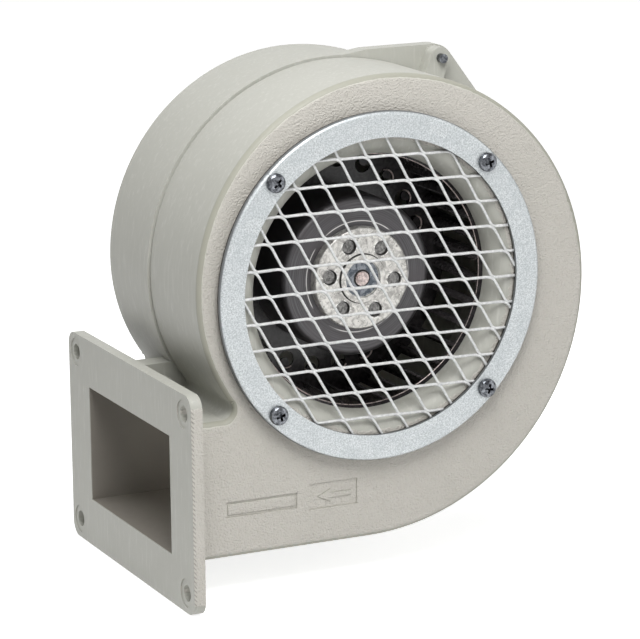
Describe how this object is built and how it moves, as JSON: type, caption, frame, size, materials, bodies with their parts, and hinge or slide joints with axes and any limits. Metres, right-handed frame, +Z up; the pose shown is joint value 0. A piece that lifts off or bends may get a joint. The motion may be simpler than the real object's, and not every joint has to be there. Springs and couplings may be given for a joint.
{
  "type": "centrifugal blower fan",
  "caption": "Cast scroll blower with a forward-curved impeller on an external-rotor motor, a guarded round inlet and a square-cut outlet flange.",
  "frame": {"origin": "centre of the outlet's bolt pattern on the flange face", "axes": "X from the outlet into the fan, Y along the fan's axis from the inlet to the back, Z up"},
  "size_m": [0.1911, 0.1334, 0.2136],
  "materials": {
    "casting_paint": "fine leather-texture enamel on die-cast aluminium",
    "galvanised_ring": "bright galvanised sheet",
    "mesh_coat": "pale coated expanded steel",
    "screw_steel": "bright zinc plate",
    "motor_casting": "as die-cast",
    "stator_sheet": "stacked electrical sheet",
    "insulator_plastic": "moulded nylon",
    "winding_copper": "enamelled copper wire",
    "circuit_board": "green solder mask",
    "bearing_steel": "ground steel",
    "gland_rubber": "moulded rubber",
    "spring_steel": "blued spring steel",
    "rotor_coat": "dark satin coat on drawn steel",
    "magnet_ferrite": "ground ferrite",
    "hub_casting": "rough cast with polished spots",
    "rivet_metal": "upset rivet heads",
    "impeller_coat": "near-black gloss enamel"
  },
  "bodies": {
    "root": {"scroll_housing": "casting_paint", "rear_housing": "casting_paint", "inlet_ring": "galvanised_ring", "inlet_mesh": "mesh_coat", "ring_screws": "screw_steel", "housing_bolts": "screw_steel", "motor_flange": "motor_casting", "motor_screws": "screw_steel", "stator_core": "stator_sheet", "stator_insulator": "insulator_plastic", "stator_windings": "winding_copper", "driver_board": "circuit_board", "board_screws": "screw_steel", "front_bearing": "bearing_steel", "rear_bearing": "bearing_steel", "cable_gland": "gland_rubber"},
    "rotor": {"shaft": "bearing_steel", "shaft_clip": "spring_steel", "rotor_can": "rotor_coat", "rotor_magnets": "magnet_ferrite", "rotor_hub": "hub_casting", "hub_rivets": "rivet_metal", "impeller_disc": "impeller_coat", "impeller_blades": "impeller_coat", "impeller_front_ring": "impeller_coat", "impeller_back_ring": "impeller_coat"}
  },
  "joints": [
    {"name": "wheel_spin", "type": "hinge", "parent": "root", "child": "rotor", "pos_m": [0.0923, 0, 0.0784], "axis": [0, 1, 0], "continuous": true}
  ]
}
